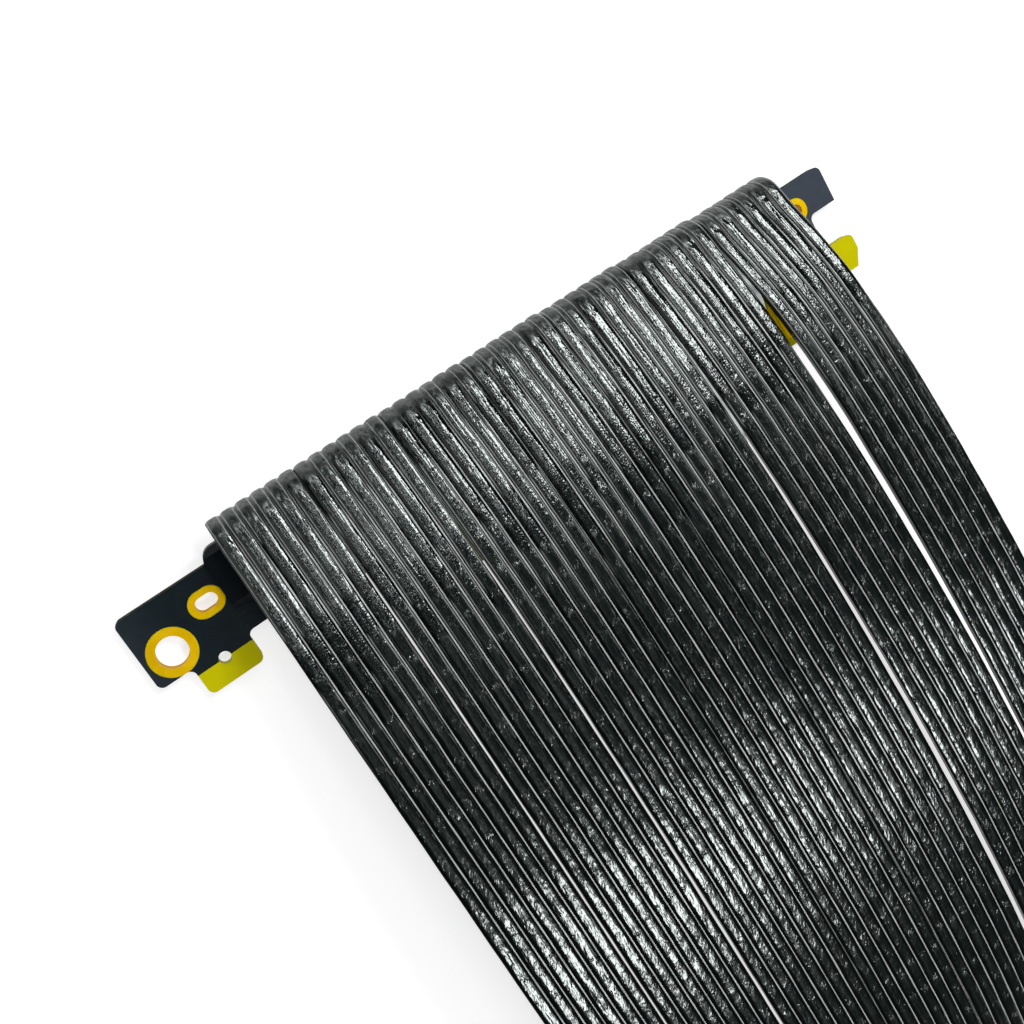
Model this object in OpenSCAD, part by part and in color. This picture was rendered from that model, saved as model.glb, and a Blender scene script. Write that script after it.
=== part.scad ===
// Riser cable: a card edge board and a card slot board, joined by flat ribbons of shielded wire pairs.
// Millimetres. The origin lies on the axis of the card board's round mounting hole, on the table.
// X runs along the card board, Y from its contacts towards its wired edge, and Z points up.

/* [Card board] */
// Thickness of the glass laminate of both boards
board_t = 1.6; // [1.2:0.1:2.4]
// Distance of the mounting hole's axis from the board's left end
hole_from_end = 3.8; // [3.4:0.1:6]
// Distance of the mounting hole's axis from the wired edge
hole_from_top = 6.85; // [6.6:0.05:7.6]
// Height of the board's body, from the wired edge to the shoulder of the contact edge
body_h = 10; // [9.9:0.1:11]
// Radius of the board's outer corners
corner_r = 0.9; // [0.5:0.1:1.4]
// Radius of the fillets in the board's inner corners
fillet_r = 0.9; // [0.4:0.1:1.2]

/* [Mounting holes] */
// Diameter of the round mounting hole, inside its plating
hole_d = 4.1; // [3:0.1:4.4]
// Width of the copper ring round the mounting hole
hole_ring = 1.05; // [0.6:0.05:1.05]
// Length of the plated slot, end to end
slot_l = 3; // [2.4:0.05:3.6]
// Width of the plated slot
slot_w = 1.9; // [1.4:0.05:2.2]
// Width of the copper ring round the plated slot
slot_ring = 0.8; // [0.5:0.05:1.2]
// Distance from the mounting hole's axis to the plated slot's middle, along the board
slot_dx = 6.75; // [6.4:0.05:7.4]
// Distance from the mounting hole's axis to the plated slot's middle, across the board
slot_dy = 2.85; // [2.6:0.05:3]
// Diameter of the plated hole at the hook end
peg_d = 1.7; // [1:0.1:2]
// Width of the copper ring round that hole
peg_ring = 0.8; // [0.5:0.05:1]
// Distance from that hole's axis to the wall of the latch notch, along the board
peg_inset = 1.4; // [0.6:0.1:2]
// Distance from the mounting hole's axis to that hole's axis, across the board
peg_dy = 3.05; // [2.8:0.05:3.4]
// Diameter of the bare tooling hole in the left tab
tooling_d = 1.65; // [1:0.05:2]

/* [Contact edge] */
// Width of a contact finger
finger_w = 0.7; // [0.5:0.05:0.8]
// Length of a contact finger
finger_l = 5.6; // [4:0.1:6]
// Distance from the wired edge to the tip of the contact edge
edge_depth = 19.85; // [19:0.05:22]
// Distance from the wired edge to the line where the solder mask ends
mask_depth = 11.1; // [10.5:0.1:11.6]
// Width of the key notch
key_w = 1.9; // [1.7:0.05:2]
// Depth of the key notch from the tip of the contact edge
key_depth = 7.6; // [6:0.1:8]
// Length of the bevel at the tip of the contact edge
bevel_l = 1.2; // [0.6:0.1:1.6]
// Depth of the bevel into each face
bevel_t = 0.35; // [0.1:0.05:0.5]

/* [Tab and hook] */
// Distance from the board's left end to the left tab
tab_from_end = 4.6; // [4:0.1:6]
// Width of the left tab
tab_w = 7.85; // [6:0.05:9]
// Distance from the wired edge to the bottom of the left tab
tab_depth = 14.15; // [13:0.05:16]
// Gap between the contact edge and the hook's leg
relief_w = 3; // [2:0.1:4]
// Width of the hook's leg
leg_w = 4.95; // [4:0.05:7]
// How far the hook's foot reaches past its leg
hook_reach = 4.75; // [4.4:0.05:6]
// Distance from the wired edge to the top of the latch notch
latch_top = 5.5; // [5.2:0.1:6]
// Distance from the wired edge to the top of the hook's foot
foot_top = 10.75; // [10.4:0.05:12]
// Distance from the wired edge to the bottom of the hook's foot
foot_depth = 15.5; // [14.8:0.1:18]
// Width of the slanted cut at the lower corner of the hook's foot
foot_cut_w = 1.2; // [0.4:0.1:2]
// Height of that cut
foot_cut_h = 2.3; // [0.6:0.1:3]

/* [Ribbons] */
// Distance between neighbouring wire pairs
wire_pitch = 2.05; // [1.9:0.01:2.1]
// Gap between neighbouring wire pairs, closed by a thin web
web_w = 0.14; // [0.12:0.02:0.3]
// Thickness of that web
web_t = 0.2; // [0.1:0.02:0.4]
// Thickness of a wire pair
wire_t = 1.15; // [0.9:0.05:1.3]

/* [Wire covers] */
// How far a cover reaches past the outermost wire pair
cover_margin = 2.8; // [2:0.1:4]
// How far a cover reaches from the wired edge over the face of its board
cover_depth = 6.6; // [5:0.1:8]
// Height of the slanted or upright face that the ribbons leave by
cover_face = 1.6; // [1.4:0.1:2]
// Radius of the cover's corners, seen from above
cover_r = 1.8; // [1:0.1:2.4]

/* [Slot board] */
// Length of the slot board
socket_len = 120; // [116:0.5:130]
// Width of the slot board
socket_w = 28; // [27:0.5:34]
// Thickness of the plate that backs the slot board
plate_t = 2; // [1.5:0.1:3]
// Diameter of the slot board's two mounting holes, inside their plating
socket_hole_d = 3.2; // [2.6:0.1:3.6]
// Distance from each end of the slot board to its hole's axis
socket_hole_inset = 4; // [3.2:0.1:6]

/* [Slot housing] */
// Width of the housing
housing_w = 7.6; // [7:0.1:9]
// Height of the housing
housing_h = 11.2; // [10.6:0.1:12]
// Distance from the slot board's free edge to the middle of the housing
housing_from_edge = 8; // [6:0.5:10]
// Wall at each end of the housing
housing_end = 2.2; // [1.6:0.1:2.8]
// Width of the card slot's mouth
mouth_w = 1.9; // [1.8:0.05:2.2]
// Depth of the card slot
slot_depth = 8.6; // [8:0.1:9]

/* [Hidden] */
$fn = 48;

// Copper and mask lie on the laminate, and the back copper rests on the table
copper_t = 0.06;
mask_t = 0.04;
plating_t = 0.06;
back_z = copper_t;
face_z = back_z + board_t;
mask_z = face_z + mask_t;
// Bare laminate left round each copper ring, and room left between pieces that only pass each other
ring_gap = 0.1;
clearance = 0.3;
// A cutting tool stands out of what it cuts by this much
over = 1;

// Contacts: the two groups on each face of the edge, their pitch and the bare margin beside the last ones
groups = [11, 71];
contact_pitch = 1;
group_margin = 0.6;
edge_parts = [for (n = groups) (n - 1) * contact_pitch + 2 * group_margin];
edge_w = edge_parts[0] + key_w + edge_parts[1];
finger_tip = 1.3;

// Ribbons: the wire pairs in each, how far each one spreads sideways past the fold and drifts further on, and
// how far its fold bows out
pairs = 6;
spreads = [0, 0.15, 0.3, 0.25, 0.15, 0.4, 1.35];
drifts = [-0.5, -0.45, -0.25, -0.25, -0.1, 0.55, 0];
bows = [0.6, 0.5, 0.4, 0.3, 0.1, -0.1, -0.4];
ribbons = len(spreads);
ribbon_w = pairs * wire_pitch;
bundle_w = ribbons * ribbon_w;

// Route of every ribbon: y, z, and the shares of its spread, its drift and its bow that it has reached there
route = [
    [8.1, 3, 0, 0, 0], [9.5, 3.9, 0, 0, 0.6], [10.4, 6.1, 0, 0, 1], [9.5, 8.3, 0, 0, 0.8],
    [8, 9.2, 0, 0, 0.5], [6, 9.9, 0.05, 0, 0.2], [2, 11.2, 0.35, 0, 0], [-4, 12.8, 0.8, 0.05, 0],
    [-11, 14.4, 1, 0.15, 0], [-19, 16, 1, 0.25, 0], [-28, 17.4, 0.95, 0.4, 0], [-38, 18.5, 0.9, 0.5, 0],
    [-50, 19.4, 0.85, 0.7, 0], [-65, 19.9, 0.8, 0.9, 0], [-83, 19.6, 0.7, 1, 0], [-103, 17.9, 0.6, 0.9, 0],
    [-120, 14.9, 0.45, 0.7, 0], [-135, 11.3, 0.3, 0.45, 0], [-149, 8.1, 0.15, 0.2, 0],
    [-161, 6, 0, 0, 0], [-171, 5.2, 0, 0, 0], [-180, 5.2, 0, 0, 0]
];
last = len(route) - 1;

// Places along the card board, from its left end to its right end
left = -hole_from_end;
top = hole_from_top;
cover_left = slot_dx + slot_l / 2 + slot_ring + ring_gap;
bundle_left = cover_left + cover_margin;
middle = bundle_left + bundle_w / 2;
cover_l = bundle_w + 2 * cover_margin;
cover_right = cover_left + cover_l;
edge_left = middle - edge_w / 2;
edge_right = edge_left + edge_w;
leg_left = edge_right + relief_w;
leg_right = leg_left + leg_w;
right = leg_right + hook_reach;
tab_left = left + tab_from_end;
tab_right = tab_left + tab_w;
peg_x = leg_right - peg_inset;
tooling_x = tab_left + tab_w / 2;

// Places on the slot board, whose wired edge lies as far inside its cover as the card board's does
cover_overhang = route[0].x + cover_face / 2 * heading(0).y - top;
socket_edge = route[last].x - cover_overhang;
socket_left = middle - socket_len / 2;
socket_right = socket_left + socket_len;
socket_free = socket_edge - socket_w;
socket_back_z = plate_t;
socket_face_z = socket_back_z + board_t;
socket_mask_z = socket_face_z + mask_t;
housing_l = edge_w + 2 * housing_end;
housing_y = socket_free + housing_from_edge;
socket_hole_y = socket_edge - socket_w / 2;
socket_hole_span = socket_len - 2 * socket_hole_inset;
cavity_w = 3.6;
lip_h = 1.6;

function unit(v) = v / norm(v);
function flat(p) = [p.x, p.y];
function heading(k) = unit(flat(route[k + 1]) - flat(route[k]));
function tangent(k) = unit(heading(max(k - 1, 0)) + heading(min(k, last - 1)));

// The corner of a square less its inscribed quarter circle; turn 0 to 3 puts it in each quadrant
module corner(p, r, turn) {
    translate(p)
        rotate(90 * turn)
            difference() {
                square(r);
                translate([r, r])
                    circle(r);
            }
}

// A rectangle from its low corner to its high corner
module span(low, high) {
    translate(low)
        square(high - low);
}

// A slot with round ends, l long and w wide, lying along X
module obround(l, w) {
    square([l - w, w], center = true);
    for (side = [-1, 1])
        translate([side * (l - w) / 2, 0])
            circle(d = w);
}

module card_outline() {
    shoulder = top - body_h;
    difference() {
        union() {
            span([left, top - latch_top], [right, top]);
            span([left, shoulder], [leg_right, top]);
            span([tab_left, top - tab_depth], [tab_right, top]);
            span([edge_left, top - edge_depth], [edge_right, top]);
            span([leg_left, top - foot_depth], [leg_right, top]);
            span([leg_left, top - foot_depth], [right, top - foot_top]);
        }
        corner([left, shoulder], corner_r, 0);
        corner([left, top], corner_r, 3);
        corner([right, top], corner_r, 2);
        corner([tab_left, top - tab_depth], corner_r, 0);
        corner([tab_right, top - tab_depth], corner_r, 1);
        corner([edge_left, top - edge_depth], corner_r, 0);
        corner([edge_right, top - edge_depth], corner_r, 1);
        corner([leg_left, top - foot_depth], corner_r, 0);
        polygon([[right, top - foot_depth + foot_cut_h], [right - foot_cut_w, top - foot_depth],
                 [right + over, top - foot_depth - over]]);
        corner([right, top - foot_top], corner_r, 2);
        translate([edge_left + edge_parts[0], top - edge_depth - over])
            square([key_w, key_depth - key_w / 2 + over]);
        translate([edge_left + edge_parts[0] + key_w / 2, top - edge_depth + key_depth - key_w / 2])
            circle(d = key_w);
    }
    corner([tab_left, shoulder], fillet_r, 2);
    corner([tab_right, shoulder], fillet_r, 3);
    corner([edge_left, shoulder], fillet_r, 2);
    corner([edge_right, shoulder], fillet_r, 3);
    corner([leg_left, shoulder], fillet_r, 2);
    corner([leg_right, top - latch_top], fillet_r, 3);
    corner([leg_right, top - foot_top], fillet_r, 0);
}

// Both wedges that bevel the tip of the contact edge
module bevel_cuts() {
    tip = top - edge_depth;
    for (side = [0, 1])
        translate([edge_left - over, 0, side ? face_z : back_z])
            mirror([0, 0, side])
                rotate([90, 0, 90])
                    linear_extrude(edge_w + 2 * over)
                        polygon([[tip, -over], [tip + bevel_l, 0], [tip, bevel_t], [tip - over, bevel_t],
                                 [tip - over, -over]]);
}

module card_laminate() {
    color("olive")
        difference() {
            translate([0, 0, back_z])
                linear_extrude(board_t)
                    card_outline();
            bevel_cuts();
            translate([0, 0, -over])
                linear_extrude(mask_z + 2 * over)
                    card_holes(plating_t);
        }
}

// The holes through the card board, each opened by the thickness of its plating
module card_holes(grow) {
    circle(d = hole_d + 2 * grow);
    translate([slot_dx, slot_dy])
        obround(slot_l + 2 * grow, slot_w + 2 * grow);
    translate([peg_x, peg_dy])
        circle(d = peg_d + 2 * grow);
    translate([tooling_x, top - mask_depth])
        circle(d = tooling_d);
}

module card_mask(low_z) {
    color([0.05, 0.06, 0.07])
        translate([0, 0, low_z])
            linear_extrude(mask_t)
                difference() {
                    intersection() {
                        card_outline();
                        union() {
                            span([left, top - mask_depth], [leg_right, top]);
                            span([left, top - latch_top], [right, top]);
                            span([left, top - latch_top - fillet_r], [leg_right + fillet_r, top]);
                        }
                    }
                    circle(d = hole_d + 2 * (hole_ring + ring_gap));
                    translate([slot_dx, slot_dy])
                        obround(slot_l + 2 * (slot_ring + ring_gap), slot_w + 2 * (slot_ring + ring_gap));
                    translate([peg_x, peg_dy])
                        circle(d = peg_d + 2 * (peg_ring + ring_gap));
                    translate([tooling_x, top - mask_depth])
                        circle(d = tooling_d);
                }
}

module card_mask_front() {
    card_mask(face_z);
}

module card_mask_back() {
    card_mask(back_z - mask_t);
}

// A plated hole: a thin barrel through the board with a flat copper ring on each face.
// Children 0, 1 and 2 are the outlines of the hole, of the barrel and of the ring.
module plating(low_z) {
    color("goldenrod")
        translate([0, 0, low_z - copper_t])
            difference() {
                union() {
                    linear_extrude(board_t + 2 * copper_t)
                        children(1);
                    for (z = [0, board_t + copper_t])
                        translate([0, 0, z])
                            linear_extrude(copper_t)
                                children(2);
                }
                translate([0, 0, -over])
                    linear_extrude(board_t + 2 * over)
                        children(0);
            }
}

module round_plating(d, ring, low_z) {
    plating(low_z) {
        circle(d = d);
        circle(d = d + 2 * plating_t);
        circle(d = d + 2 * ring);
    }
}

module card_hole_plating() {
    round_plating(hole_d, hole_ring, back_z);
}

module card_slot_plating() {
    translate([slot_dx, slot_dy, 0])
        plating(back_z) {
            obround(slot_l, slot_w);
            obround(slot_l + 2 * plating_t, slot_w + 2 * plating_t);
            obround(slot_l + 2 * slot_ring, slot_w + 2 * slot_ring);
        }
}

module card_peg_plating() {
    translate([peg_x, peg_dy, 0])
        round_plating(peg_d, peg_ring, back_z);
}

// Repeats its children at every contact of the edge, from the first one's place along X
module each_contact(first_x) {
    for (g = [0, 1])
        for (i = [0 : groups[g] - 1])
            translate([first_x + group_margin + g * (edge_parts[0] + key_w) + i * contact_pitch, 0, 0])
                children();
}

module fingers(low_z) {
    color("gold")
        each_contact(edge_left)
            translate([-finger_w / 2, top - edge_depth + finger_tip, low_z])
                cube([finger_w, finger_l, copper_t]);
}

module card_fingers_front() {
    fingers(face_z);
}

module card_fingers_back() {
    fingers(back_z - copper_t);
}

// A cover over soldered wire ends: a side profile run along X, with the corners rounded from above.
// Seen from above it lies between y low and y high, and its two corners at y high are round.
module cover(low, high, height) {
    intersection() {
        translate([cover_left, 0, 0])
            rotate([90, 0, 90])
                linear_extrude(cover_l)
                    children();
        translate([0, 0, -over])
            linear_extrude(height + 2 * over)
                difference() {
                    span([cover_left, low], [cover_right, high]);
                    corner([cover_left, high], cover_r, 3);
                    corner([cover_right, high], cover_r, 2);
                }
    }
}

module card_cover() {
    out = heading(0);
    start = flat(route[0]);
    upper = start + cover_face / 2 * [-out.y, out.x];
    lower = start - cover_face / 2 * [-out.y, out.x];
    foot = top - cover_depth;
    color([0.04, 0.04, 0.05])
        cover(foot, lower.x, upper.y)
            polygon([[foot, mask_z], [foot, (mask_z + upper.y) / 2], [foot + cover_r / 2, upper.y], upper,
                     lower, [lower.x, 0], [top, 0], [top, mask_z]]);
}

module socket_cover() {
    end = flat(route[last]);
    high = end.y + cover_face / 2;
    foot = socket_edge - cover_depth;
    color([0.04, 0.04, 0.05])
        cover(foot, end.x, high)
            polygon([[foot, socket_mask_z], [foot, (socket_mask_z + high) / 2], [foot + cover_r / 2, high],
                     [end.x, high], [end.x, 0], [socket_edge, 0], [socket_edge, socket_mask_z]]);
}

// Section of one ribbon: flat-topped lobes, one for each wire pair, joined at mid height by thin webs
lobe = (wire_pitch - web_w) / 2;
flat_top = 0.62 * lobe;
lobe_side = [[-lobe, web_t / 2], [-flat_top, wire_t / 2], [flat_top, wire_t / 2], [lobe, web_t / 2]];
upper_side = [for (i = [0 : pairs - 1]) for (p = lobe_side) [p.x + (i + 0.5) * wire_pitch, p.y]];
section = concat(upper_side, [for (i = [len(upper_side) - 1 : -1 : 0]) [upper_side[i].x, -upper_side[i].y]]);
sides = len(section);

// One ribbon swept along the route: rings square to the run, sides of two triangles each, and flat ends
// made of strips from the upper side to the lower one
module ribbon(index) {
    x = bundle_left + index * ribbon_w;
    points = [
        for (k = [0 : last])
            for (p = section)
                [x + spreads[index] * route[k][2] + drifts[index] * route[k][3] + p.x,
                 route[k].x + bows[index] * route[k][4] - p.y * tangent(k).y,
                 route[k].y + p.y * tangent(k).x]
    ];
    walls = [
        for (k = [0 : last - 1])
            for (j = [0 : sides - 1])
                let (a = k * sides + j, b = k * sides + (j + 1) % sides)
                    for (f = [[a, b + sides, b], [a, a + sides, b + sides]])
                        f
    ];
    start = [for (j = [0 : sides / 2 - 2]) [j, j + 1, sides - 2 - j, sides - 1 - j]];
    finish = [for (f = start) [for (j = [3 : -1 : 0]) last * sides + f[j]]];
    color([0.1, 0.1, 0.11])
        polyhedron(points, concat(walls, start, finish), convexity = 4);
}

module socket_plan(grow) {
    difference() {
        span([socket_left, socket_free], [socket_right, socket_edge]);
        corner([socket_left, socket_free], corner_r, 0);
        corner([socket_right, socket_free], corner_r, 1);
        corner([socket_right, socket_edge], corner_r, 2);
        corner([socket_left, socket_edge], corner_r, 3);
        for (side = [-1, 1])
            translate([middle + side * socket_hole_span / 2, socket_hole_y])
                circle(d = socket_hole_d + 2 * grow);
    }
}

module socket_laminate() {
    color("olive")
        translate([0, 0, socket_back_z])
            linear_extrude(board_t)
                socket_plan(plating_t);
}

module socket_mask() {
    color([0.05, 0.06, 0.07])
        translate([0, 0, socket_face_z])
            linear_extrude(mask_t)
                socket_plan(hole_ring + ring_gap);
}

module socket_hole_plating() {
    for (side = [-1, 1])
        translate([middle + side * socket_hole_span / 2, socket_hole_y, 0])
            round_plating(socket_hole_d, hole_ring, socket_back_z);
}

// The insulating plate under the slot board, cut back round the plated holes
module socket_back_plate() {
    color([0.08, 0.08, 0.09])
        linear_extrude(plate_t)
            socket_plan(hole_ring + ring_gap);
}

module socket_housing() {
    floor_z = housing_h - slot_depth;
    side = housing_w / 2;
    rim = [0.6, 1];
    color([0.07, 0.07, 0.08])
        translate([middle - housing_l / 2, housing_y, socket_mask_z])
            difference() {
                rotate([90, 0, 90])
                    linear_extrude(housing_l)
                        polygon([[-side, 0], [side, 0], [side, housing_h - rim.y], [side - rim.x, housing_h],
                                 [rim.x - side, housing_h], [-side, housing_h - rim.y]]);
                for (g = [0, 1])
                    translate([housing_end + g * (edge_parts[0] + key_w), 0, 0]) {
                        translate([0, -cavity_w / 2, floor_z])
                            cube([edge_parts[g], cavity_w, slot_depth - lip_h]);
                        translate([0, -mouth_w / 2, floor_z])
                            cube([edge_parts[g], mouth_w, slot_depth + over]);
                    }
            }
}

// One row of sprung contacts: each blade stands at the cavity's wall and bows towards the card
module contacts(side) {
    foot_z = socket_mask_z + housing_h - slot_depth;
    tip_z = socket_mask_z + housing_h - lip_h - clearance;
    wall = cavity_w / 2;
    blade = 0.25;
    bow = wall - board_t / 2;
    mid_z = (foot_z + 2 * tip_z) / 3;
    color("gold")
        each_contact(middle - edge_w / 2)
            translate([-finger_w / 2, housing_y, 0])
                mirror([0, side, 0])
                    rotate([90, 0, 90])
                        linear_extrude(finger_w)
                            polygon([[wall, foot_z], [wall, foot_z + over], [wall - bow + blade, mid_z],
                                     [wall - blade, tip_z], [wall - 2 * blade, tip_z], [wall - bow, mid_z],
                                     [wall - blade, foot_z + over], [wall - blade, foot_z]]);
}

module socket_contacts_near() {
    contacts(0);
}

module socket_contacts_far() {
    contacts(1);
}

card_laminate();
card_mask_front();
card_mask_back();
card_hole_plating();
card_slot_plating();
card_peg_plating();
card_fingers_front();
card_fingers_back();
card_cover();
ribbon(0);  // ribbon_1
ribbon(1);  // ribbon_2
ribbon(2);  // ribbon_3
ribbon(3);  // ribbon_4
ribbon(4);  // ribbon_5
ribbon(5);  // ribbon_6
ribbon(6);  // ribbon_7
socket_laminate();
socket_mask();
socket_hole_plating();
socket_back_plate();
socket_housing();
socket_contacts_near();
socket_contacts_far();
socket_cover();
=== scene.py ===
import bpy
import numpy as np
from mathutils import Matrix, Vector


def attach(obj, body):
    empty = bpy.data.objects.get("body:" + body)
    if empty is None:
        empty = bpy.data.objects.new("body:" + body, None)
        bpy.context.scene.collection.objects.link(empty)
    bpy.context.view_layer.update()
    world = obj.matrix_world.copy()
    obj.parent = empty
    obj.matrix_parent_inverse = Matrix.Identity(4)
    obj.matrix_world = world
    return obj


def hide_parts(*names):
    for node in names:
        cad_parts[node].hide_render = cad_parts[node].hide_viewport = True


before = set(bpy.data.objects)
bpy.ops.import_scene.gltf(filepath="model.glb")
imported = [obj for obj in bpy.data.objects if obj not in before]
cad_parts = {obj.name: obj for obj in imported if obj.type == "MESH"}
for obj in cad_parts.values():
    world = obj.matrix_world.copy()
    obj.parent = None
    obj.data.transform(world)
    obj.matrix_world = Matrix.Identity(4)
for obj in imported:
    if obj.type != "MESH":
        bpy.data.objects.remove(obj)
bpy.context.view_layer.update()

# The viewpoint. The photograph was taken from above the left end of the card board, a hand's width away,
# with a moderately wide lens, so the nearest ribbons look much wider than the far ones.
CAMERA_AT = Vector((0.01645, 0.02279, 0.13840))
CAMERA_RIGHT = Vector((0.80709, -0.51227, 0.29358)).normalized()
CAMERA_BACK = CAMERA_RIGHT.cross(Vector((0.55444, 0.82850, -0.07860))).normalized()
CAMERA_UP = CAMERA_BACK.cross(CAMERA_RIGHT)
camera = bpy.data.objects.new("camera", bpy.data.cameras.new("camera"))
bpy.context.collection.objects.link(camera)
camera.data.sensor_width = 36.0
camera.data.lens = 37.77
camera.data.clip_start = 0.01
camera.matrix_world = Matrix.Translation(CAMERA_AT) @ Matrix(
    (CAMERA_RIGHT, CAMERA_UP, CAMERA_BACK)).transposed().to_4x4()
bpy.context.scene.camera = camera
bpy.context.scene.view_settings.view_transform = "Standard"


# The boards' cores: woven glass cloth in resin, routed to outline. The card board's is bare and olive yellow on the
# tab, the contact edge and the hook foot. Beside the mask, its sawn edge is stained dark.
OLIVE = (0.56, 0.515, 0.0)
OLIVE_PALE = (0.62, 0.57, 0.0)
OLIVE_THREAD = (0.66, 0.61, 0.0)
SAWN_DARK = (0.012, 0.014, 0.012)
THREADS_PER_MM = 8.0
LOWER_RIM, UPPER_RIM = (0.06, 0.12), (1.66, 1.60)
MASK_BEGINS = (-3.7, -3.5)
NOISE_RANGE = (0.3, 0.7)


class Sock:
    """A shader socket with arithmetic: + - * / add Math nodes, and the reflected forms take plain numbers."""

    def __init__(self, paint, socket):
        self.paint, self.socket = paint, socket

    def _math(self, operation, *values):
        return self.paint.node("ShaderNodeMath", dict(operation=operation), *values)

    def __add__(self, other): return self._math("ADD", self, other)
    def __sub__(self, other): return self._math("SUBTRACT", self, other)
    def __mul__(self, other): return self._math("MULTIPLY", self, other)
    def __truediv__(self, other): return self._math("DIVIDE", self, other)
    def __rsub__(self, other): return self._math("SUBTRACT", other, self)
    def __rtruediv__(self, other): return self._math("DIVIDE", other, self)
    __radd__, __rmul__ = __add__, __mul__

    def abs(self): return self._math("ABSOLUTE", self)
    def fract(self): return self._math("FRACT", self)

    def clip(self, low, high):
        """0 at low, 1 at high, and a smooth change between. Low may be the larger, for a fall."""
        return self.paint.node("ShaderNodeMapRange", dict(interpolation_type="SMOOTHSTEP"), self, low, high, 0.0, 1.0)

    def bell(self, width):
        """1 at zero, falling to a half at the given width on both sides: one over one plus the ratio's square."""
        ratio = self / width
        return 1.0 / (1.0 + ratio * ratio)


class Paint:
    """One material: a Principled shader, and methods that add the nodes that feed it."""

    def __init__(self, name, **constants):
        self.material = bpy.data.materials.new(name)
        self.material.use_nodes = True
        self.tree = self.material.node_tree
        self.shader = self.tree.nodes["Principled BSDF"]
        for socket, value in constants.items():
            self.shader.inputs[socket.replace("_", " ")].default_value = value

    def node(self, kind, settings, *values, out=0, **named):
        """Any node: its settings first, then its sockets in order or by name, as numbers or links. None leaves a
        socket as it is."""
        made = self.tree.nodes.new(kind)
        for key, value in settings.items():
            setattr(made, key, value)
        for key, value in [*enumerate(values), *named.items()]:
            socket = made.inputs[key if isinstance(key, int) else key.replace("_", " ")]
            if isinstance(value, Sock):
                self.tree.links.new(value.socket, socket)
            elif value is not None:
                socket.default_value = value
        return Sock(self, made.outputs[out])

    def place(self):
        """Object coordinates in millimetres, as a vector."""
        here = self.node("ShaderNodeTexCoord", {}, out=3)
        return self.node("ShaderNodeVectorMath", dict(operation="SCALE"), here, Scale=1000.0)

    def parts(self, vector):
        """The x, y and z of a vector."""
        split = self.node("ShaderNodeSeparateXYZ", {}, vector).socket.node
        return [Sock(self, split.outputs[i]) for i in range(3)]

    def join(self, x, y, z=0.0):
        return self.node("ShaderNodeCombineXYZ", {}, x, y, z)

    def noise(self, vector, scale, detail=3.0, roughness=0.55):
        return self.node("ShaderNodeTexNoise", {}, Vector=vector, Scale=scale, Detail=detail, Roughness=roughness)

    def mix(self, factor, low, high):
        """The colour low where factor is 0 and high where it is 1. A Mix node has five sockets for numbers and
        vectors between its factor and its two colours."""
        colours = [value if isinstance(value, Sock) else (*value, 1.0) for value in (low, high)]
        return self.node("ShaderNodeMix", dict(data_type="RGBA"), factor, *[None] * 5, *colours, out=2)

    def feed(self, **sockets):
        """Links sockets of the shader by name."""
        for name, value in sockets.items():
            self.tree.links.new(value.socket, self.shader.inputs[name.replace("_", " ")])

    def bump(self, height_mm):
        """A height in millimetres as a change of the normal."""
        self.feed(Normal=self.node("ShaderNodeBump", {}, Strength=1.0, Distance=0.001, Height=height_mm))


def dress(paint, *nodes):
    """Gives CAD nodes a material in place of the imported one."""
    for name in nodes:
        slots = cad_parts[name].data.materials
        slots.clear()
        slots.append(paint.material)


laminate = Paint("bare_glass_laminate", IOR=1.5, Specular_IOR_Level=0.05)
at = laminate.place()
x, y, z = laminate.parts(at)
weave = ((x * THREADS_PER_MM).fract() - 0.5).abs() + ((y * THREADS_PER_MM).fract() - 0.5).abs()
cloud = laminate.noise(at, 0.45)
tone = laminate.mix(cloud.clip(*NOISE_RANGE), OLIVE, OLIVE_PALE)
face = laminate.mix(weave.clip(0.2, 0.9), tone, OLIVE_THREAD)
sawn = z.clip(*LOWER_RIM) * z.clip(*UPPER_RIM) * y.clip(*MASK_BEGINS)
laminate.feed(Base_Color=laminate.mix(sawn, face, SAWN_DARK),
              Roughness=laminate.noise(at, 3.0) * 0.15 + 0.36 + sawn * 0.4)
laminate.bump(weave * 0.004 + laminate.noise(at, 6.0) * 0.006)
dress(laminate, "card_laminate", "socket_laminate")


# Solder mask: a thin skin of black resin, sprayed over the copper and cured, so the traces below it show as
# faint ridges. It stops in a straight line above the contacts. Both its ends are painted paler, as a painted
# reflection of the lamps.
RESIN = (0.0015, 0.006, 0.008)
RESIN_PALE = (0.003, 0.009, 0.0115)
# The mask's paler colour: a painted reflection at both ends, and also the tone of the slot row's traces.
RESIN_SHEEN_AND_TRACES = (0.053, 0.064, 0.086)
CARD_SIDE = (-25.0, -15.0)
LEFT_END, RIGHT_END = (4.0, -7.0), (96.0, 102.0)
TRACES_LEFT, TRACES_TOP, TRACES_FADE = 7.9, 0.4, 0.5
TRACES_PER_MM, TRACE_SLOPE = 2.6, 0.12
SLOT_ROW_LEFT, SLOT_ROW_RIGHT = (9.0, 9.5), (98.5, 98.0)

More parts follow.
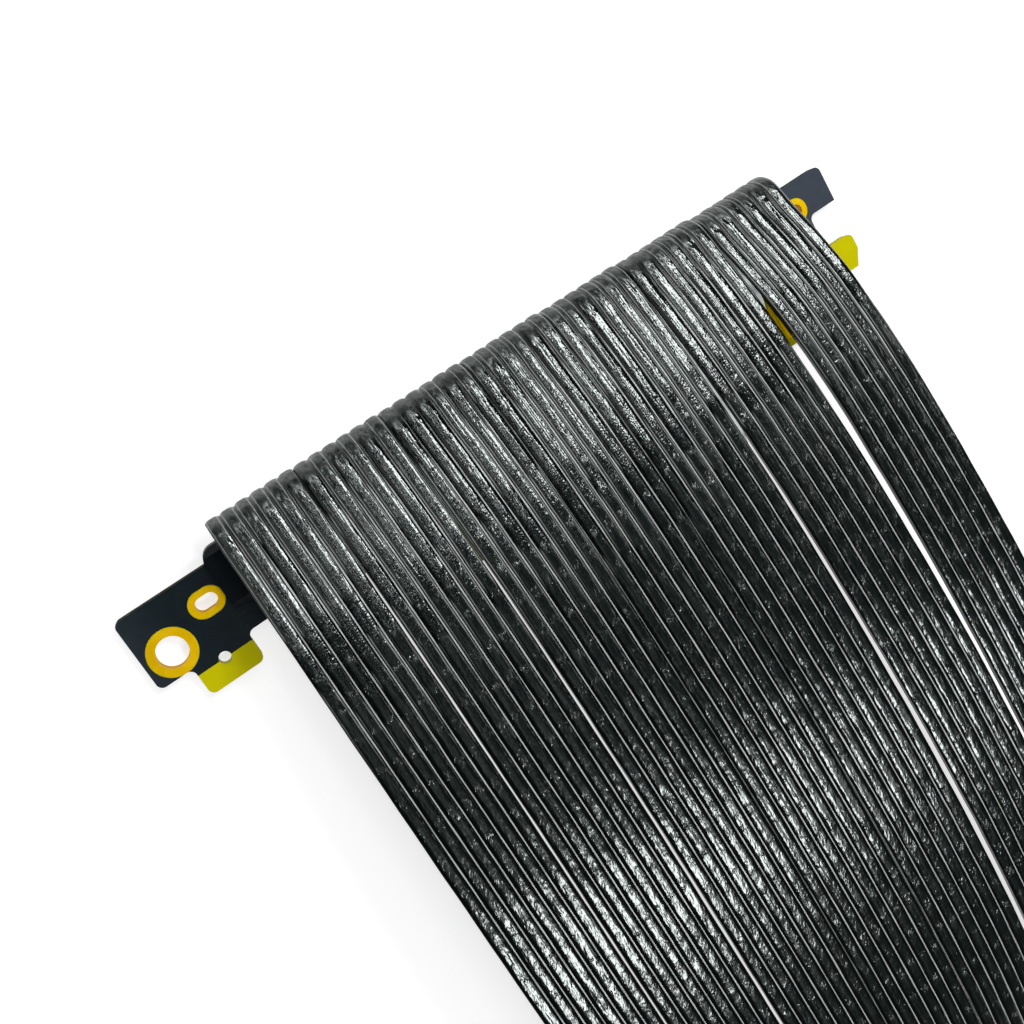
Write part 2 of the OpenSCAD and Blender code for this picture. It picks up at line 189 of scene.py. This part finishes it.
mask = Paint("black_solder_mask", IOR=1.5, Specular_IOR_Level=0.2, Specular_Tint=(0.8, 0.9, 1.0, 1.0))
at = mask.place()
x, y, _ = mask.parts(at)
card_side = y.clip(*CARD_SIDE)
near_traces = (x - TRACES_LEFT).clip(0.0, TRACES_FADE) * (y - TRACES_TOP).clip(TRACES_FADE, 0.0) * card_side
traces = (((y + x * TRACE_SLOPE) * TRACES_PER_MM).fract() - 0.5).abs().clip(0.22, 0.34) * near_traces
slot_traces = (x.fract() - 0.5).abs().clip(0.17, 0.25) * x.clip(*SLOT_ROW_LEFT) * x.clip(*SLOT_ROW_RIGHT)
slot_traces = slot_traces * (1.0 - card_side)
mottle = mask.noise(at, 0.6)
resin = mask.mix(mottle.clip(*NOISE_RANGE), RESIN, RESIN_PALE)
# Painted reflection: the mask's two ends are painted paler in place of the lamps' sheen, and the slot row's traces
# are paler too.
bare = (x.clip(*RIGHT_END) + x.clip(*LEFT_END) * 0.42) * card_side + slot_traces * 0.12
mask.feed(Base_Color=mask.mix(bare * (mottle * 0.3 + 0.7), resin, RESIN_SHEEN_AND_TRACES),
          Roughness=mask.noise(at, 1.5) * 0.12 + 0.38)
mask.bump(traces * 0.008 + slot_traces * 0.03 + mask.noise(at, 5.0, 2.0) * 0.004)
dress(mask, "card_mask_front", "card_mask_back", "socket_mask")


# Plated holes and contacts: copper grown through and round each hole, then gold flashed over it. The gold is
# thin and takes the copper's grain, so its shine is soft and uneven. The holes' walls are painted a darker copper
# colour, as painted shade inside the holes.
GOLD = (0.88, 0.55, 0.002)
GOLD_PALE = (0.95, 0.64, 0.008)
BARREL_PAINTED_SHADE = (0.52, 0.28, 0.005)
BARREL_BOTTOM, BARREL_TOP = (0.08, 0.2), (1.66, 1.54)

gold = Paint("gold_over_copper", Metallic=1.0)
at = gold.place()
grain = gold.noise(at, 4.0, 4.0, 0.6)
stain = gold.noise(at, 0.5, 3.0)
height = gold.parts(at)[2]
# Painted shade: the walls inside the holes are painted darker.
shaded_barrel = height.clip(*BARREL_BOTTOM) * height.clip(*BARREL_TOP)
face = gold.mix(stain.clip(0.35, 0.7), GOLD, GOLD_PALE)
gold.feed(Base_Color=gold.mix(shaded_barrel, face, BARREL_PAINTED_SHADE), Roughness=grain * 0.2 + 0.45)
gold.bump(grain * 0.012 + gold.noise(at, 18.0, 2.0) * 0.004)
dress(gold, "card_hole_plating", "card_slot_plating", "card_peg_plating", "card_fingers_front",
      "card_fingers_back", "socket_hole_plating", "socket_contacts_near", "socket_contacts_far")


# The ribbons: seven flat ribbons of six wire pairs. Each pair lies in a wrap of thin black film, flat on top and
# round at its sides, and a thread of clear bonding resin joins it to the next. All leave the cover together,
# fold back over the board and part a little on the way to the slot board.
#
# A row of ROUTE is a point of the middle line: y and z in millimetres, then the shares of the ribbon's own spread,
# drift and bow that it has there. TEARS says how far along the web to the next ribbon still holds, and GAP_SIDES
# which pair is at the wide gap, and on which side of it the gap lies.
ROUTE = np.array([
    (8.1, 3, 0, 0, 0), (9.5, 3.9, 0, 0, 0.6), (10.4, 6.1, 0, 0, 1), (9.5, 8.3, 0, 0, 0.8), (8, 9.2, 0, 0, 0.5),
    (6, 9.9, 0.05, 0, 0.2), (2, 11.2, 0.35, 0, 0), (-4, 12.8, 0.8, 0.05, 0), (-11, 14.4, 1, 0.15, 0),
    (-19, 16, 1, 0.25, 0), (-28, 17.4, 0.95, 0.4, 0), (-38, 18.5, 0.9, 0.5, 0), (-50, 19.4, 0.85, 0.7, 0),
    (-65, 19.9, 0.8, 0.9, 0), (-83, 19.6, 0.7, 1, 0), (-103, 17.9, 0.6, 0.9, 0), (-120, 14.9, 0.45, 0.7, 0),
    (-135, 11.3, 0.3, 0.45, 0), (-149, 8.1, 0.15, 0.2, 0), (-161, 6, 0, 0, 0), (-171, 5.2, 0, 0, 0),
    (-180, 5.2, 0, 0, 0)])
SPREADS = (0, 0.15, 0.3, 0.25, 0.15, 0.4, 1.35)
DRIFTS = (-0.5, -0.45, -0.25, -0.25, -0.1, 0.55, 0)
BOWS = (0.6, 0.5, 0.4, 0.3, 0.1, -0.1, -0.4)
PAIRS = 6
PITCH = 2.05
BUNDLE_LEFT = 11.95
PAIR_HALF_WIDTH = 0.945
PAIR_HALF_HEIGHT = 0.575
FLAT_HALF_WIDTH = 0.23
WEB_HEIGHT = 0.34
FIN_REACH = 1.01
FIN_HALF_HEIGHT = 0.2
FINS = ((0, 1), (1, 1), (1, 1), (1, 1), (1, 1), (0, 1), (0, 0))
GAP_SIDES = {5: (PAIRS - 1, 1), 6: (0, -1)}
FREE_EDGE_CUT, FREE_EDGE_STARTS, FREE_EDGE_EASES = 0.2, 20.0, 15.0
TEARS = {4: 32.0, 5: 19.0}
TEAR_LENGTH = 2.0
SWAY = ((9.0, 17.0, 31.0), 0.03)
RISE = ((7.0, 13.0, 29.0), 0.035)
TILT = ((5.0, 11.0, 23.0), 0.04)
STILL_ENDS = 6.0
SEED = 40
RINGS = 390


def smooth_route(points, count):
    """A curve through the points, evenly spaced by length: between two points it is the cubic that leaves each one
    along the line from its neighbour before to its neighbour after, with speeds in proportion to the chords."""
    chord = np.linalg.norm(np.diff(points[:, :2], axis=0), axis=1)
    knot = np.concatenate([[0.0], np.cumsum(chord)])
    slope = np.gradient(points, knot, axis=0)
    slope[0], slope[-1] = (points[1] - points[0]) / chord[0], (points[-1] - points[-2]) / chord[-1]
    fine = np.linspace(0.0, knot[-1], 40 * len(points))
    for _ in range(2):
        span = np.clip(np.searchsorted(knot, fine, "right") - 1, 0, len(chord) - 1)
        step = chord[span][:, None]
        t = ((fine - knot[span]) / chord[span])[:, None]
        line = ((2 * t**3 - 3 * t**2 + 1) * points[span] + (t**3 - 2 * t**2 + t) * step * slope[span]
                + (3 * t**2 - 2 * t**3) * points[span + 1] + (t**3 - t**2) * step * slope[span + 1])
        run = np.concatenate([[0.0], np.cumsum(np.linalg.norm(np.diff(line[:, :2], axis=0), axis=1))])
        fine = np.interp(np.linspace(0.0, run[-1], count), run, fine)
    return line, run[-1]


def pair_section(steps, flats):
    """Half of a pair's outline above its middle: a quarter ellipse up from the web, the flat top, and the same
    quarter down again, as across and up in millimetres from left to right."""
    low = np.arcsin(WEB_HEIGHT / PAIR_HALF_HEIGHT)
    turn = np.linspace(low, np.pi / 2, steps)
    side = np.stack([FLAT_HALF_WIDTH + (PAIR_HALF_WIDTH - FLAT_HALF_WIDTH) * np.cos(turn) / np.cos(low),
                     PAIR_HALF_HEIGHT * np.sin(turn)], axis=1)
    flat = np.linspace(-FLAT_HALF_WIDTH, FLAT_HALF_WIDTH, flats + 2)[1:-1]
    middle = np.stack([flat, np.full(flat.shape, PAIR_HALF_HEIGHT)], axis=1)
    return np.concatenate([side * (-1, 1), middle, side[::-1]])


def wander(random, along, waves, height):
    """Slow unevenness along the run: a sum of sines with the given wave lengths and random phases, of about the
    given height, which fades out at both ends."""
    total = sum(np.sin(2 * np.pi * along / length + random.uniform(0, 2 * np.pi)) for length in waves)
    ends = np.clip(np.minimum(along, along[-1] - along) / STILL_ENDS, 0.0, 1.0)
    return height * total / len(waves) * ends


def ribbon_outline(index):
    """A ribbon's outline in parts, each with the number of its pair: the pairs side by side over the outside of the
    fold, the right edge, the pairs back along the inside, and the left edge. An edge reaches out as a thin fin of
    resin where it meets the next ribbon."""
    outside, inside = pair_section(7, 3), pair_section(4, 1)[::-1] * (1, -1)
    left, right = (np.array([(FIN_REACH if fin else PAIR_HALF_WIDTH, height)
                             for height in (FIN_HALF_HEIGHT, -FIN_HALF_HEIGHT)]) for fin in FINS[index])
    outline = [(pair, outside) for pair in range(PAIRS)] + [(PAIRS - 1, right)]
    return outline + [(pair, inside) for pair in reversed(range(PAIRS))] + [(0, -left)]


def ribbon_points(index, outline, route, along):
    """The outline carried along the route on rings square to it: a point is its place across from the ribbon's left
    edge, and its height along the route's normal. Each pair strays, rises and tilts a little by itself. The pair at
    the wide gap narrows towards it, and the edge with a torn web bridges the gap until the tear and then draws back.
    Also gives each pair's shift of the film's pattern."""
    random = np.random.default_rng(SEED + index)
    sway, rise, tilt = ([wander(random, along, *kind)[:, None] for _ in range(PAIRS)] for kind in (SWAY, RISE, TILT))
    shift = random.uniform() + random.uniform(-0.1, 0.1, PAIRS)
    x = np.concatenate([(pair + 0.5) * PITCH + sway[pair] + part[:, 0] - tilt[pair] * part[:, 1]
                        for pair, part in outline], axis=1)
    z = np.concatenate([rise[pair] + part[:, 1] + tilt[pair] * part[:, 0] for pair, part in outline], axis=1)
    if index in GAP_SIDES:
        pair, side = GAP_SIDES[index]
        middle = (pair + 0.5) * PITCH + sway[pair]
        narrow = 1.0 - FREE_EDGE_CUT * np.clip((along - FREE_EDGE_STARTS) / FREE_EDGE_EASES, 0.0, 1.0)[:, None]
        x = np.where((x - middle) * side > 0, middle + (x - middle) * narrow, x)
    if index in TEARS:
        spread, drift = SPREADS[index + 1] - SPREADS[index], DRIFTS[index + 1] - DRIFTS[index]
        opened = (spread * route[:, 2] + drift * route[:, 3])[:, None]
        torn = np.clip((along - TEARS[index]) / TEAR_LENGTH, 0.0, 1.0)[:, None]
        edge = sum(len(part) for _, part in outline[:PAIRS])
        x[:, edge:edge + 2] += opened * (1 - torn) + (PAIR_HALF_WIDTH - FIN_REACH) * torn
    heading = np.gradient(route[:, :2], axis=0)
    heading /= np.linalg.norm(heading, axis=1)[:, None]
    left = BUNDLE_LEFT + index * PAIRS * PITCH + SPREADS[index] * route[:, 2:3] + DRIFTS[index] * route[:, 3:4]
    out = route[:, 0:1] + BOWS[index] * route[:, 4:5]
    return np.stack([left + x, out + z * heading[:, 1:2], route[:, 1:2] - z * heading[:, 0:1]], axis=2), shift


def ribbon_mesh(name, index, route, length):
    """One ribbon as a closed mesh of rings and two end caps, and its middle line. The uv map holds the distance
    across the pair and along the run in millimetres, and the attribute phase counts the pairs and shifts the film's
    pattern from one to the next. Faces from one part of the outline to another are resin, with crisp edges."""
    along = np.linspace(0.0, length, len(route))
    outline = ribbon_outline(index)
    points, shift = ribbon_points(index, outline, route, along)
    rings, sides = points.shape[:2]
    ring, side = np.meshgrid(np.arange(rings - 1), np.arange(sides), indexing="ij")
    after = (side + 1) % sides
    faces = np.stack([ring * sides + side, (ring + 1) * sides + side, (ring + 1) * sides + after,
                      ring * sides + after], axis=2).reshape(-1, 4)
    caps = [list(range(sides)), list(range((rings - 1) * sides, rings * sides))[::-1]]
    mesh = bpy.data.meshes.new(name)
    mesh.from_pydata((points.reshape(-1, 3) * 0.001).tolist(), [], faces.tolist() + caps)
    wrap = mesh.uv_layers.new(name="wrap")
    corner = np.empty(len(mesh.loops), np.int32)
    mesh.loops.foreach_get("vertex_index", corner)
    u = np.tile(np.concatenate([part[:, 0] for _, part in outline]), rings)
    v = np.repeat(along, sides)
    wrap.data.foreach_set("uv", np.stack([u[corner], v[corner]], axis=1).ravel())
    phase = mesh.attributes.new("phase", "FLOAT", "POINT")
    own = np.concatenate([np.full(len(part), index * PAIRS + pair + shift[pair]) for pair, part in outline])
    phase.data.foreach_set("value", np.tile(own, rings).astype(np.float32))
    part_of = np.concatenate([np.full(len(part), count) for count, (_, part) in enumerate(outline)])
    bare = np.isin(part_of, [count for count, end in ((PAIRS, 1), (2 * PAIRS + 1, 0)) if not FINS[index][end]])
    resin = (part_of != np.roll(part_of, -1)) & ~bare & ~np.roll(bare, -1)
    material = np.concatenate([np.tile(resin, rings - 1), [0, 0]]).astype(np.int32)
    mesh.polygons.foreach_set("material_index", material)
    mesh.polygons.foreach_set("use_smooth", np.concatenate([np.ones(len(faces), bool), [False, False]]))
    ends = np.empty(2 * len(mesh.edges), np.int32)
    mesh.edges.foreach_get("vertices", ends)
    ends = ends.reshape(-1, 2) % sides
    crisp = mesh.attributes.new("sharp_edge", "BOOLEAN", "EDGE")
    crisp.data.foreach_set("value", (ends[:, 0] == ends[:, 1]) & (resin | np.roll(resin, 1))[ends[:, 0]])
    mesh.update()
    return mesh, points.mean(axis=1)


# The film is wound on in laps, crushed and creased at each lap, and drawn smooth and finely pleated round the fold.
# Its colour holds painted light: a painted sheen on the flat tops, painted glints on the creases and painted shade
# on the round flanks. Ranges are in millimetres along the run, from the cover.
FILM_BLACK = (0.002, 0.0046, 0.0042)
FILM_PALE = (0.005, 0.0092, 0.0085)
FILM_PAINTED_SHEEN = (0.042, 0.05, 0.048)
FILM_PAINTED_GLINT = (0.30, 0.33, 0.31)
FILM_SHADED_FLANK = (0.0008, 0.0012, 0.0014)
FILM_SEAM = (0.42, 0.45, 0.43)
LAP_PITCH, LAP_WIDTH = 4.4, 0.6
SEAM_ACROSS, SEAM_WIDTH = 0.72, 0.03
CRUSH_RANGE = (10.0, 28.0)
KNUCKLE_RANGE, RIM_RANGE = (10.5, 7.5), (8.5, 7.0)
FOLD_RANGE, SEAM_RANGE = (42.0, 24.0), (42.0, 26.0)


film = Paint("wrapped_black_film", IOR=1.7, Specular_Tint=(0.93, 1.0, 0.975, 1.0))
uv = film.node("ShaderNodeUVMap", dict(uv_map="wrap"))
across, along, _ = film.parts(uv)
phase = film.node("ShaderNodeAttribute", dict(attribute_name="phase"), out=2)


def film_noise(across_rate, along_rate, phase_rate, detail=1.0, roughness=0.55):
    """Noise that is stretched by its rates per millimetre across and along, and differs from pair to pair."""
    grid = film.join(across * across_rate, along * along_rate, phase * phase_rate)
    return film.noise(grid, 1.0, detail, roughness)


drift = film.noise(film.join(along * 0.11, phase * 3.7), 1.0, 1.0)
lap = ((along / LAP_PITCH + phase + drift * 0.4).fract() - 0.5) * LAP_PITCH
crush = lap.bell(LAP_WIDTH) * film.noise(film.join(along * 0.5, phase * 8.0), 1.0, 1.0).clip(0.25, 0.5)
crush = crush * across.abs().clip(0.7, 0.4) * along.clip(*CRUSH_RANGE)
stroke = film.noise(film.join(across * 2.4 + along * 1.2, along * 0.9 - across * 0.6, phase * 6.0), 1.0, 1.0, 0.5)
# Where the film is creased: this shapes both the creases' bumps and their painted glints.
creases_and_glints = stroke.clip(0.5, 0.66) * crush
ripple = film.noise(film.join(across * 1.3 + along * 0.3, along * 0.6, phase * 6.0), 1.0, 2.0, 0.5)
streak = film_noise(2.6, 0.2, 4.0, roughness=0.4)
pleat = film_noise(5.0, 0.14, 7.0, detail=0.0)
knuckle = film_noise(1.2, 0.8, 5.0, roughness=0.5) * along.clip(*KNUCKLE_RANGE)
fold = along.clip(*FOLD_RANGE)
wave = film_noise(0.5, 0.2, 2.0, roughness=0.4)
fine = film_noise(3.0, 2.0, 3.0)
speckle = film_noise(6.0, 4.5, 2.0, detail=0.0)
seam = film.noise(film.join(along * 0.06, phase * 5.0), 1.0, 2.0).clip(0.44, 0.5) * along.clip(*SEAM_RANGE)
seam = (across.abs() - SEAM_ACROSS).bell(SEAM_WIDTH) * seam
# Painted sheen: the flat tops are painted paler along streaks and at the crushed laps, in place of light they catch.
painted_sheen = streak.clip(0.52, 0.68) * 0.5 + crush * fine.clip(0.35, 0.65) * 0.6
top = film.mix(ripple.clip(*NOISE_RANGE), FILM_BLACK, FILM_PALE)
top = film.mix(painted_sheen * 0.6, top, FILM_PAINTED_SHEEN)
# Painted glints: the creases are painted pale, in place of the lamps' glints on them.
top = film.mix(creases_and_glints.clip(0.2, 0.8) * fine.clip(0.38, 0.58) * 0.3, top, FILM_PAINTED_GLINT)
# Painted shade: the round flanks of each pair are painted darker than its top.
black = film.mix(across.abs().clip(0.3, 0.6), top, FILM_SHADED_FLANK)
film.feed(Base_Color=film.mix(seam, black, FILM_SEAM),
          Roughness=fine * 0.1 + 0.13 - fold * 0.08 + knuckle * along.clip(*RIM_RANGE) * 0.5)
folded = pleat * 0.028 + speckle * 0.016 - ripple * 0.045
film.bump(ripple * 0.1 + streak * 0.05 + folded * fold + knuckle * 0.3 + wave * 0.06 + creases_and_glints * 0.05)

# The bonding resin between the pairs was run in as a thread and cured: whitish in patches. Round the fold, near
# the cover, it is painted dark, as painted shade in the grooves between the pairs.
THREAD_DULL = (0.20, 0.225, 0.215)
THREAD_WHITE = (0.56, 0.60, 0.58)
THREAD_PAINTED_SHADE = (0.03, 0.034, 0.033)
THREAD_SHADE_RANGE = (14.5, 10.5)

bond = Paint("clear_bonding_resin", IOR=1.5)
uv = bond.node("ShaderNodeUVMap", dict(uv_map="wrap"))
_, along, _ = bond.parts(uv)
phase = bond.node("ShaderNodeAttribute", dict(attribute_name="phase"), out=2)
patch = bond.noise(bond.join(along * 0.2, phase * 9.0), 1.0, 3.0, 0.6)
thread = bond.mix(patch.clip(0.32, 0.6), THREAD_DULL, THREAD_WHITE)
# Painted shade: the threads are painted dark round the fold.
bond.feed(Base_Color=bond.mix(along.clip(*THREAD_SHADE_RANGE), thread, THREAD_PAINTED_SHADE),
          Roughness=patch * 0.15 + 0.25)
bond.bump(bond.noise(uv, 1.7) * 0.02)

route_line, route_length = smooth_route(ROUTE, RINGS)
for index in range(len(SPREADS)):
    name = f"ribbon_{index + 1}"
    mesh, centres = ribbon_mesh(f"film_{name}", index, route_line, route_length)
    mesh.materials.append(film.material)
    mesh.materials.append(bond.material)
    piece = bpy.data.objects.new(f"film_{name}", mesh)
    bpy.context.collection.objects.link(piece)
    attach(piece, "root")
    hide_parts(name)
    centres[0] * 0.001
    (centres * 0.001).tolist()


# Wire covers: black resin moulded over the soldered wire ends and round each board's wired edge, so nothing pulls
# on the joints. The mould leaves a fine even grain.
COVER_BLACK = (0.0020, 0.0050, 0.0075)
COVER_PALE = (0.0030, 0.0065, 0.0095)

cover = Paint("moulded_cover", IOR=1.5, Specular_IOR_Level=0.08)
at = cover.place()
grain = cover.noise(at, 7.0, 3.0)
cover.feed(Base_Color=cover.mix(cover.noise(at, 0.4).clip(*NOISE_RANGE), COVER_BLACK, COVER_PALE),
           Roughness=grain * 0.16 + 0.38)
cover.bump(grain * 0.02)
dress(cover, "card_cover", "socket_cover")


# The slot housing: a glass-filled bar moulded in one piece, with the card slot along its top. Its faces have a
# faint flow mark along their length and a fine grain.
HOUSING_BLACK = (0.009, 0.009, 0.010)
HOUSING_PALE = (0.015, 0.015, 0.016)

housing = Paint("moulded_slot_housing", IOR=1.5)
at = housing.place()
x, y, z = housing.parts(at)
flow = housing.noise(housing.join(x * 0.08, y, z), 1.2)
grain = housing.noise(at, 6.0, 3.0)
housing.feed(Base_Color=housing.mix(flow.clip(*NOISE_RANGE), HOUSING_BLACK, HOUSING_PALE),
             Roughness=grain * 0.2 + 0.4)
housing.bump(grain * 0.025 + flow * 0.01)
dress(housing, "socket_housing")


# The backing plate: a stamped sheet of black insulating plastic under the slot board, with a matte leather-like
# face that is scuffed a little where it slides.
PLATE_BLACK = (0.010, 0.010, 0.012)
PLATE_SCUFFED = (0.03, 0.03, 0.033)

backing = Paint("black_backing_plate", IOR=1.5)
at = backing.place()
leather = backing.noise(at, 2.2, 4.0, 0.6)
scuff = backing.noise(at, 0.3, 5.0, 0.7).clip(0.55, 0.75)
backing.feed(Base_Color=backing.mix(scuff * 0.5, PLATE_BLACK, PLATE_SCUFFED),
             Roughness=leather * 0.2 + 0.5)
backing.bump(leather * 0.05)
dress(backing, "socket_back_plate")


# The studio: a wide white table, soft boxes hung level above it behind the fold and beyond the sheet's far end, and
# weak light all round that is paler towards the horizon.
TABLE_HALF = 6.0
TABLE_DROP = 0.00005
LAMP_HEIGHT = 0.50
SKY_GREYS = ((0.0, 0.04), (0.6, 0.025))

table_corners = [(TABLE_HALF * right, TABLE_HALF * up, 0.0) for right, up in ((-1, -1), (1, -1), (1, 1), (-1, 1))]
table_mesh = bpy.data.meshes.new("table")
table_mesh.from_pydata(table_corners, [], [(0, 1, 2, 3)])
table = bpy.data.objects.new("table", table_mesh)
table.location.z = -TABLE_DROP
bpy.context.collection.objects.link(table)
paper = Paint("white_table", Base_Color=(0.5, 0.5, 0.5, 1.0), Roughness=0.9, Specular_IOR_Level=0.1,
              Emission_Strength=0.72)
rays = paper.node("ShaderNodeLightPath", {}).socket.node.outputs
seen = sum((Sock(paper, rays[name]) for name in ("Is Glossy Ray", "Is Transmission Ray")),
           Sock(paper, rays["Is Camera Ray"]))
paper.feed(Emission_Color=paper.mix(seen, (0.0, 0.0, 0.0), (1.0, 1.0, 1.0)))
table_mesh.materials.append(paper.material)


def softbox(name, at, size, radiance):
    """A rectangular lamp that faces straight down; its power is its radiance times its area times pi."""
    lamp = bpy.data.objects.new(name, bpy.data.lights.new(name, "AREA"))
    lamp.data.shape = "RECTANGLE"
    lamp.data.size, lamp.data.size_y = size
    lamp.data.energy = radiance * size[0] * size[1] * np.pi
    lamp.location = (*at, LAMP_HEIGHT)
    bpy.context.collection.objects.link(lamp)


softbox("right_lamp", (0.355, 0.255), (0.15, 0.29), 16.5)
softbox("back_lamp", (0.255, 0.64), (0.15, 0.48), 7.0)
softbox("left_strip", (0.145, 0.495), (0.022, 0.77), 7.5)
softbox("outer_strip", (0.04, 0.495), (0.018, 0.77), 8.0)
softbox("left_lamp", (-0.30, 0.495), (0.45, 0.77), 0.4)
softbox("far_lamp", (0.05, -0.335), (0.15, 0.13), 20.0)
softbox("far_side_lamp", (0.22, -0.36), (0.16, 0.11), 1.9)
softbox("left_fill", (0.0, -0.09), (0.14, 0.30), 0.2)
softbox("side_lamp", (0.56, -0.05), (0.20, 0.25), 1.4)

world = bpy.data.worlds.new("studio")
bpy.context.scene.world = world
world.use_nodes = True
nodes, links = world.node_tree.nodes, world.node_tree.links
direction = nodes.new("ShaderNodeSeparateXYZ")
links.new(nodes.new("ShaderNodeTexCoord").outputs["Generated"], direction.inputs[0])
sky = nodes.new("ShaderNodeValToRGB")
for element, (height, grey) in zip(sky.color_ramp.elements, SKY_GREYS):
    element.position, element.color = height, (grey, grey, grey, 1.0)
links.new(direction.outputs["Z"], sky.inputs[0])
links.new(sky.outputs["Color"], nodes["Background"].inputs["Color"])
